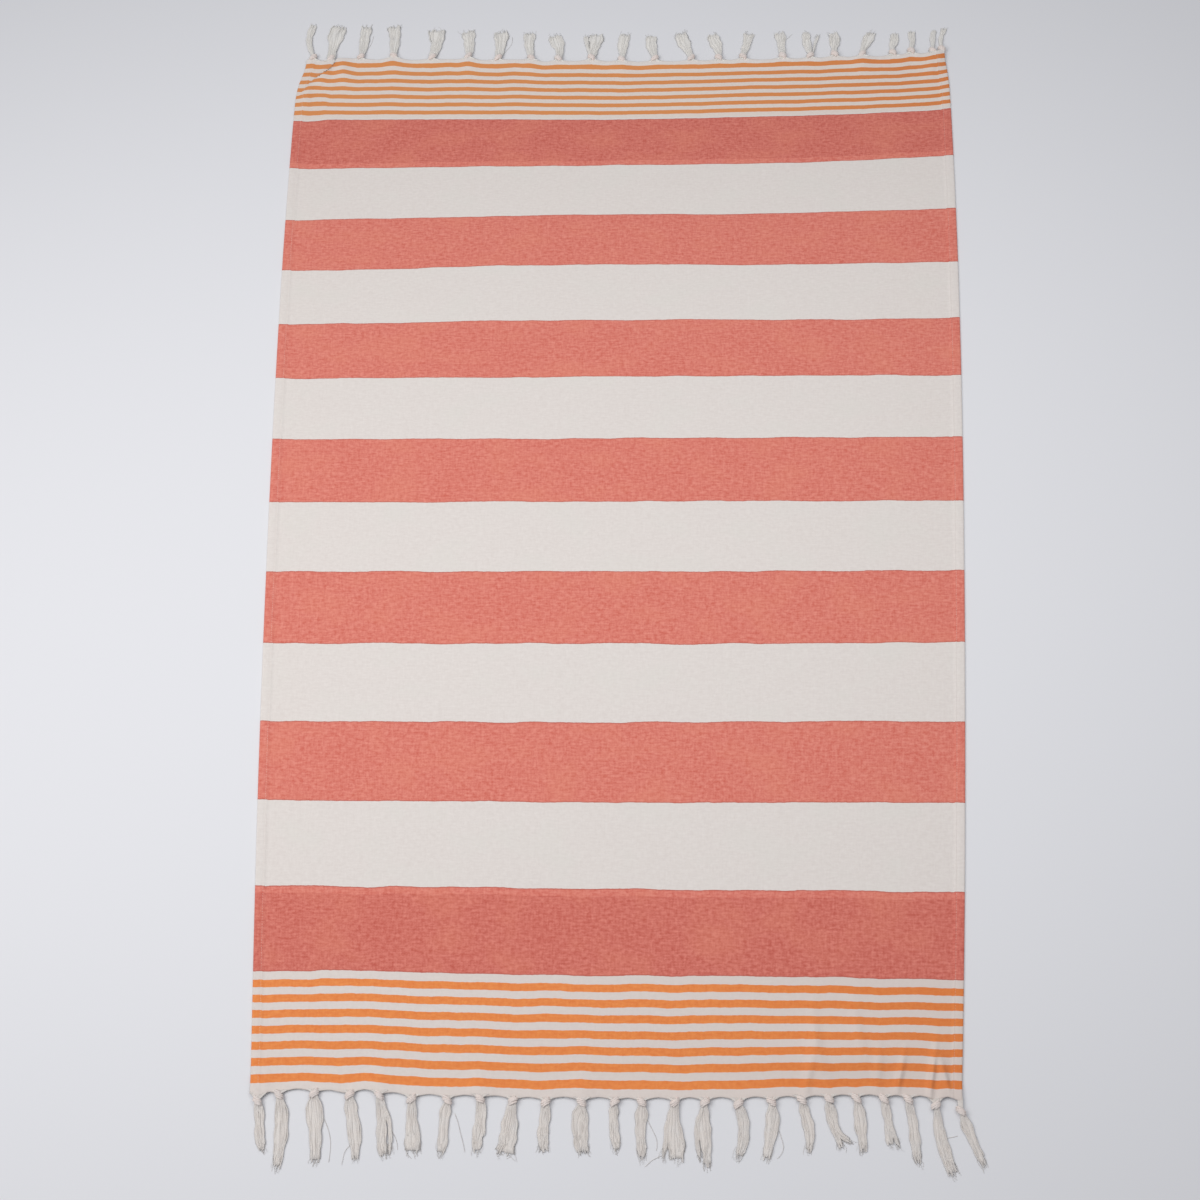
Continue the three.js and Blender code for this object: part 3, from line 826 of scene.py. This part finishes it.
def stitch_group():
    """A line of short stitches, each a thread that dips into the cloth at both ends."""
    group = bpy.data.node_groups.new("stitches_on_guides", "GeometryNodeTree")
    given = group_inputs(group, {
        "Pitch": "Float", "Stitch": "Float", "Thread radius": "Float", "Seed": "Int", "Material": "Material",
    }).outputs
    lines = put(group, "GeometryNodeMeshToCurve", {"Mesh": given["Guides"]}).outputs[0]
    feeds = {"Curve": lines, "Length": given["Pitch"]}
    places = put(group, "GeometryNodeCurveToPoints", feeds, mode="LENGTH")
    half = times(group, given["Stitch"], 0.5)
    sunk = times(group, given["Thread radius"], -1.2)
    start = put(group, "ShaderNodeCombineXYZ", {0: times(group, half, -1.0), 2: sunk}).outputs[0]
    end = put(group, "ShaderNodeCombineXYZ", {0: half, 2: sunk}).outputs[0]
    top = put(group, "ShaderNodeCombineXYZ", {2: times(group, sunk, -1.2)}).outputs[0]
    feeds = {"Resolution": 4, "Start": start, "Middle": top, "End": end}
    arc = put(group, "GeometryNodeCurveQuadraticBezier", feeds).outputs[0]
    thread = swept(group, arc, round_profile(group, 4, given["Thread radius"]))
    feeds = {"Vector": places.outputs["Tangent"]}
    turned = put(group, "FunctionNodeAlignRotationToVector", feeds, axis="X").outputs[0]
    size = chance(group, 0.85, 1.15, given["Seed"])
    feeds = {"Points": places.outputs[0], "Instance": thread, "Rotation": turned, "Scale": size}
    sewn = put(group, "GeometryNodeInstanceOnPoints", feeds).outputs[0]
    return finish_group(group, sewn, given["Material"])


def guide_object(name, guides):
    """A mesh of open lines. Each guide is an array of x, y, z and, for a bundle, half width, half height
    and looseness."""
    points = np.concatenate(guides)
    edges, start = [], 0
    for guide in guides:
        edges += [(start + k, start + k + 1) for k in range(len(guide) - 1)]
        start += len(guide)
    mesh = bpy.data.meshes.new(name)
    mesh.from_pydata(in_frame(points[:, 0], points[:, 1], points[:, 2]).tolist(), edges, [])
    for column, kept in zip(points[:, 3:].T, ("half_width", "half_height", "loose")):
        values = mesh.attributes.new(kept, "FLOAT", "POINT").data
        values.foreach_set("value", column.astype(np.float32))
    return link_object(name, mesh)


def grown(group, name, guides, **inputs):
    """The finished mesh that a node group makes of a set of guides, with the modifier gone."""
    guide = guide_object(name + "_guides", guides)
    modifier = guide.modifiers.new("grown", "NODES")
    modifier.node_group = group
    sockets = {s.name: s.identifier for s in group.interface.items_tree if s.in_out == "INPUT"}
    for key, value in inputs.items():
        modifier[sockets[key.replace("_", " ")]] = value
    bpy.context.view_layer.update()
    mesh = bpy.data.meshes.new_from_object(guide.evaluated_get(bpy.context.evaluated_depsgraph_get()))
    mesh.name = name
    bpy.data.objects.remove(guide)
    return link_object(name, mesh)


def joined(name, pieces):
    """One object of several meshes."""
    first = pieces[0]
    with bpy.context.temp_override(active_object=first, selected_editable_objects=pieces, object=first):
        bpy.ops.object.join()
    first.name = first.data.name = name
    return first


# ---- fringe guides ----
YARN_RADIUS = 0.85 * MM
BUNDLE_YARNS = 22
GUIDE_POINTS = 16
HELD_POINTS = 7
WEB_REACH = 11 * MM  # at most this half width of warp ends is gathered into a knot
WEB_HALF_HEIGHT = 0.35 * MM
INSIDE = 5 * MM  # how far inside the woven end a bundle starts
NECK = 2.3 * MM  # half the width of a bundle where it enters its knot
NECK_RISE = 2.0 * MM  # how much its half height grows on the way there
KNOT_HEIGHT = 4.3 * MM  # of a knot's middle
KNOT_POINTS = 20
KNOT_TURNS = 1.45
KNOT_HALF_SIZES = (4.9 * MM, 2.9 * MM)  # across and up
KNOT_ADVANCE = 1.4 * MM  # half the way that a knot's turns go along the bundle
KNOT_BAND = (0.8 * MM, 2.3 * MM)  # half sizes of the strands that make the turns
LOCK_HEIGHT = 3.4 * MM  # where a lock parts from its tassel
LOCK_INSIDE = 5 * MM  # about what a knot draws the woven end out by
LOOSE_HALF_HEIGHT = 1.5 * MM
SWAY = 1.5 * MM
CLOSED = 0.42  # a bundle's width at its knot, as a share of its full width
FAN_WIDTH = 21.5 * MM  # a near tassel this wide opens out like a fan, as all the far ones do
FAN = (0.85, 0.1, 0)  # where it is fully open, and how much it narrows along its length and at its tip
SLIM = (0.22, 0.32, 0.35)  # the same of the other tassels
FRAY_POINTS = 4
FRAY_LENGTH = 5 * MM
FRAY_SINK = 0.8 * MM
STRAY_POINTS = 12
STRAY_HEIGHT = 0.5 * MM
STRAY_HALF_SIZES = (0.3 * MM, 0.2 * MM)
STRAY_WRIGGLE = 0.8 * MM
CORE_CUT = 1  # guide points at a tip that the filling stops short of
CORE_SIDES = 10
CORE_LOWEST = 0.1 * MM


def outwards(far):
    return 1 if far else -1


def share_at(x, along):
    return np.clip(x / half_width(x, along), -1, 1)


def end_line(x, far):
    """Where the woven end is, and how high, across the towel."""
    x = np.asarray(x, float)
    along = np.full_like(x, WOVEN if far else 0.0)
    return along + drift(share_at(x, along), x, along), lift(x, along)


def gathered_from(across, drop, far):
    """Where the woven end would be at a knot without the knot's own pull, and how high it is."""
    end, lifted = end_line(np.array([across]), far)
    return end[0] - outwards(far) * knot_pull(drop), lifted[0]


def guide_of(*columns):
    """A guide from its x, y, z, half width, half height and looseness, each an array or one number."""
    return np.stack(np.broadcast_arrays(*columns), axis=-1)


def hanging(row, start, height, far, phase):
    """The loose part of a bundle, from the knot to the tip. Lengths are measured out from the woven end."""
    across, drop, lean, bow, length, width = row[:6] * MM
    curl = row[6] * MM if len(row) > 6 else 0.0
    hang = np.linspace(0, 1, GUIDE_POINTS)
    open_at, narrowing, tip_narrowing = FAN if far or width > FAN_WIDTH else SLIM
    opened = np.clip(hang / open_at, 0, 1)
    opened = opened * opened * (3 - 2 * opened)
    sway = SWAY * np.sqrt(hang) * np.sin(5.5 * hang + phase)
    x = across + lean * hang + bow * np.sin(math.pi * hang) + sway + curl * hang**4
    y = start + outwards(far) * (drop + length * hang - 0.5 * abs(curl) * hang**5)
    uneven = 1 + 0.11 * np.sin(9 * hang + 2.3 * phase) + 0.08 * np.sin(23 * hang + phase)
    widest = width / 2 - YARN_RADIUS
    half = widest * (CLOSED + (1 - CLOSED) * opened) * (1 - narrowing * hang**2) * uneven
    half = half * (1 - tip_narrowing * hang**8)
    tall = min(LOOSE_HALF_HEIGHT, widest) * (1 - 0.5 * opened) * (1 - 0.75 * hang**5)
    rest = tall + YARN_RADIUS
    z = rest + np.maximum(height - rest, 0) * (1 - np.clip(hang / 0.3, 0, 1)) ** 2
    return guide_of(x, y, z, half, tall, 0.2 + 0.8 * opened)


def tassel_guide(row, gap, far, phase):
    """From inside the woven end, through the knot, to the tip."""
    across, drop = row[:2] * MM
    start, lifted = gathered_from(across, drop, far)
    out = np.linspace(knot_pull(drop) - INSIDE, drop, HELD_POINTS + 1)[:-1]
    held = (drop - out) / (drop - out[0])
    first = lifted + SHEET * 0.75
    z = first + (KNOT_HEIGHT - first) * (1 - held) ** 1.6
    half = NECK + (gap - NECK) * held**1.5
    tall = WEB_HALF_HEIGHT + NECK_RISE * (1 - held) ** 2
    gathered = guide_of(across, start + outwards(far) * out, z, half, tall, 0.0)
    return np.concatenate([gathered, hanging(row, start, KNOT_HEIGHT, far, phase)])


def knot_guide(row, far, rng):
    """The bundle's turn about itself: about one and a half wraps, set a little aslant."""
    across, drop = row[:2] * MM
    start, _ = gathered_from(across, drop, far)
    t = np.linspace(0, 1, KNOT_POINTS)
    angle = 2 * math.pi * KNOT_TURNS * t + rng.uniform(-0.9, 0.9)
    tight = np.sin(math.pi * np.clip(t, 0.06, 0.94)) ** 0.25
    slant = rng.uniform(1.4, 2.8) * rng.choice([-1, 1])
    x = across + KNOT_HALF_SIZES[0] * tight * np.cos(angle)
    z = KNOT_HEIGHT + KNOT_HALF_SIZES[1] * tight * np.sin(angle)
    y = start + outwards(far) * (drop + KNOT_ADVANCE * (2 * t - 1)) + slant * MM * np.cos(angle)
    return guide_of(x, y, z, *KNOT_BAND, 0.0)


def frayed_guide(guide):
    """The last of a bundle, a little longer and wider than its yarns."""
    tail = guide[-FRAY_POINTS:].copy()
    grow = np.linspace(0, 1, len(tail))
    step = tail[-1, :2] - tail[-2, :2]
    tail[:, :2] += np.outer(grow, step / np.linalg.norm(step)) * FRAY_LENGTH
    tail[:, 3] = (tail[:, 3] + YARN_RADIUS * 0.5) * (1 + 0.2 * grow)
    tail[:, 4] *= 1 - 0.4 * grow
    tail[:, 2] -= FRAY_SINK * grow
    tail[:, 5] = 1.0 + 1.2 * grow
    return tail


def stray_guide(row, far, rng):
    x0, out0, x1, out1, bow = row[1:] * MM
    end, _ = end_line(np.array([x0]), far)
    t = np.linspace(0, 1, STRAY_POINTS)
    bowed = np.sin(math.pi * t)
    x = x0 + (x1 - x0) * t + bow * bowed + STRAY_WRIGGLE * np.sin(7 * t + rng.uniform(0, 6))
    y = end[0] + outwards(far) * (out0 + (out1 - out0) * t + abs(bow) * 0.2 * bowed)
    return guide_of(x, y, STRAY_HEIGHT, *STRAY_HALF_SIZES, 0.0)


def bundle_guides(tassels, locks, far, phases):
    """The tassels' guides, each as wide at the woven end as the warp ends that its knot gathers, and then
    the locks' guides."""
    xs = tassels[:, 0] * MM
    end = WOVEN if far else 0.0
    bounds = np.concatenate([[-half_width(-1, end)], (xs[1:] + xs[:-1]) / 2, [half_width(1, end)]])
    gaps = np.minimum(np.minimum(xs - bounds[:-1], bounds[1:] - xs), WEB_REACH)
    guides = [tassel_guide(row, gap, far, phase) for row, gap, phase in zip(tassels, gaps, phases)]
    locks = np.column_stack([locks[:, 0] + locks[:, 1], locks[:, 2:]])
    for row, phase in zip(locks, phases[len(tassels):]):
        start = end_line(row[:1] * MM, far)[0][0] - outwards(far) * LOCK_INSIDE
        guides.append(hanging(row, start, LOCK_HEIGHT, far, phase))
    return guides


def bundle_cores(name, guides, material):
    """What fills each bundle inside its yarns, so that no light comes through it."""
    angles = np.linspace(0, 2 * math.pi, CORE_SIDES, endpoint=False)
    points, faces = [], []
    for guide in guides:
        tangent = np.gradient(guide[:, :3], axis=0)
        side = np.cross(tangent, (0, 0, 1))
        side /= np.linalg.norm(side, axis=1)[:, None]
        sideways = np.cos(angles)[None, :, None] * guide[:, 3][:, None, None]
        upwards = np.sin(angles)[None, :, None] * guide[:, 4][:, None, None]
        ring = guide[:, None, :3] + side[:, None] * sideways + np.array([0, 0, 1]) * upwards
        start = sum(len(p) for p in points)
        cell = start + np.arange(len(guide) * CORE_SIDES).reshape(len(guide), CORE_SIDES)
        after = np.roll(cell, -1, axis=1)
        faces += np.stack([cell[:-1], cell[1:], after[1:], after[:-1]], axis=-1).reshape(-1, 4).tolist()
        faces += [cell[0].tolist(), cell[-1, ::-1].tolist()]
        points.append(ring.reshape(-1, 3))
    x, y, z = np.concatenate(points).T
    core = mesh_object(name, in_frame(x, y, np.maximum(z, CORE_LOWEST)), faces)
    shade_smooth(core)
    core.data.materials.append(material)
    return core


# Where the tips turn greyer with painted shade, how unevenly the yarns end, and how many fine fibres a tip
# has
NEAR_TIPS = (0.9, 0.28, 14)
FAR_TIPS = (0.99, 0.10, 8)


def make_fringe(name, tassels, locks, strays, far, group, materials, seed):
    rng = np.random.default_rng(seed)
    phases = rng.uniform(0, 2 * math.pi, len(tassels) + len(locks))
    guides = bundle_guides(tassels, locks, far, phases)
    knots = [knot_guide(row, far, rng) for row in tassels]
    frays = [frayed_guide(guide) for guide in guides]
    loose = [stray_guide(row, far, rng) for row in strays]
    material, knot_material = materials
    tip_shade_start, uneven, fibres = FAR_TIPS if far else NEAR_TIPS
    flat = {"Up": (0.0, 0.0, 1.0), "Material": material, "Seed": seed}
    round_knot = {"Up": (0.0, 1.0, 0.0), "Material": knot_material, "Seed": seed}
    pieces = [
        grown(group, name, guides, Yarns=BUNDLE_YARNS, Yarn_radius=YARN_RADIUS, Stray=3 * MM,
              Uneven_ends=uneven, Grey_from=tip_shade_start, Sides=4, **flat),
        grown(group, name + "_knots", knots, Yarns=5, Yarn_radius=1.35 * MM, Stray=0.0,
              Uneven_ends=0.0, Grey_from=0.99, Sides=5, **round_knot),
        grown(group, name + "_fray", frays, Yarns=fibres, Yarn_radius=0.2 * MM, Stray=6 * MM,
              Uneven_ends=0.6, Grey_from=0.6, Sides=3, **flat),
        grown(group, name + "_strays", loose, Yarns=1, Yarn_radius=0.28 * MM, Stray=0.0,
              Uneven_ends=0.1, Grey_from=0.5, Sides=4, **flat),
        bundle_cores(name + "_cores", [guide[:-CORE_CUT] for guide in guides], material),
    ]
    return joined(name, pieces)


# ---- hem stitches ----
STITCH_PLACE = 11.7 * MM  # from the long edge
STITCH_PITCH = 3.4 * MM
STITCH_LENGTH = 2.5 * MM
THREAD_RADIUS = 0.18 * MM
STITCH_MARGIN = 3 * MM  # from each woven end
STITCH_GUIDE_POINTS = 420


def stitch_guide(side):
    """Along the hem's own row of stitches, on top of the cloth."""
    pick = np.linspace(STITCH_MARGIN, WOVEN - STITCH_MARGIN, STITCH_GUIDE_POINTS)
    x, y, z = underside_at(np.full_like(pick, side * (1 - STITCH_PLACE / HALF_WIDTH)), pick)
    rise = np.interp(STITCH_PLACE / MM, HEM_PROFILE[:, 0], HEM_PROFILE[:, 1]) * MM
    return np.stack([x, y, z + SHEET + rise], axis=-1)


# ---- pieces ----
cloth = make_cloth()
cloth.data.materials.append(cloth_material())
bundles = yarn_group()
knotted = yarn_material("knotted_yarn", KNOT_YARN)
near_yarns = (yarn_material("natural_yarn", NEAR_YARN), knotted)
far_yarns = (yarn_material("far_yarn_painted_light", FAR_YARN_PAINTED_LIGHT), knotted)
near_locks = at_knots(near_tassels, NEAR_LOCKS)
near_strays = at_knots(near_tassels, NEAR_STRAYS, asides=(1, 3))
far_locks = at_knots(far_tassels, FAR_LOCKS)
far_strays = at_knots(far_tassels, FAR_STRAYS, asides=(1, 3))
near_fringe = make_fringe("knotted_fringe_near", near_tassels, near_locks, near_strays, far=False,
                          group=bundles, materials=near_yarns, seed=3)
far_fringe = make_fringe("knotted_fringe_far", far_tassels, far_locks, far_strays, far=True,
                         group=bundles, materials=far_yarns, seed=8)
stitches = grown(stitch_group(), "hem_stitches", [stitch_guide(-1), stitch_guide(1)], Pitch=STITCH_PITCH,
                 Stitch=STITCH_LENGTH, Thread_radius=THREAD_RADIUS, Seed=5, Material=thread_material())

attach(cloth, "root")
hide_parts("woven_cloth")
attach(stitches, "root")
for fringe, node in ((near_fringe, "fringe_near"), (far_fringe, "fringe_far")):
    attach(fringe, "root")
    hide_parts(node)


# ---- floor, lights and camera ----
FLOOR = (0.742, 0.738, 0.755, 1)
FLOOR_HALF = 6.0
FLOOR_Z = -0.3 * MM  # just below the towel's lowest yarns
SKY = (0.9, 0.93, 1.0, 1)
SKY_STRENGTH = 0.345
LENS = 46.3
SENSOR = 36
EYE = Vector((0.082, -0.932, 2.039))  # from the middle line, halfway along the weave
LOOK = (21.23, 2.37, 0.94)  # degrees about x, y and z


def make_floor():
    corners = ((-1, -1), (1, -1), (1, 1), (-1, 1))
    points = np.array([[x * FLOOR_HALF, y * FLOOR_HALF, FLOOR_Z] for x, y in corners])
    made = mesh_object("floor", points, [[0, 1, 2, 3]])
    material = bpy.data.materials.new("pale_floor")
    material.use_nodes = True
    shader = material.node_tree.nodes["Principled BSDF"]
    shader.inputs["Base Color"].default_value = FLOOR
    shader.inputs["Roughness"].default_value = 0.95
    shader.inputs["Specular IOR Level"].default_value = 0.0
    made.data.materials.append(material)
    return made


def soft_lamp(name, place, target, size, power):
    lamp = bpy.data.lights.new(name, "AREA")
    lamp.shape = "SQUARE"
    lamp.size = size
    lamp.energy = power
    made = link_object(name, lamp)
    made.location = place
    made.rotation_euler = (Vector(target) - Vector(place)).to_track_quat("-Z", "Y").to_euler()


def light_world():
    world = bpy.data.worlds.new("studio")
    world.use_nodes = True
    background = world.node_tree.nodes["Background"]
    background.inputs["Color"].default_value = SKY
    background.inputs["Strength"].default_value = SKY_STRENGTH
    bpy.context.scene.world = world


def make_camera():
    lens = bpy.data.cameras.new("camera")
    lens.lens = LENS
    lens.sensor_width = SENSOR
    made = link_object("camera", lens)
    made.location = EYE + Vector((MIDDLE_X, NEAR_Y + WOVEN / 2, 0))
    made.rotation_euler = Euler([math.radians(angle) for angle in LOOK], "XYZ")
    return made


floor = make_floor()
soft_lamp("overhead_lamp", place=(0.5, 0.05, 1.7), target=(0.5, 0.05, 0.0), size=1.4, power=12.6)
soft_lamp("side_lamp", place=(-1.35, -0.3, 1.95), target=(-0.1, 0.0, 0.0), size=1.6, power=31.5)
light_world()
bpy.context.scene.camera = make_camera()
bpy.context.scene.view_settings.view_transform = "Standard"
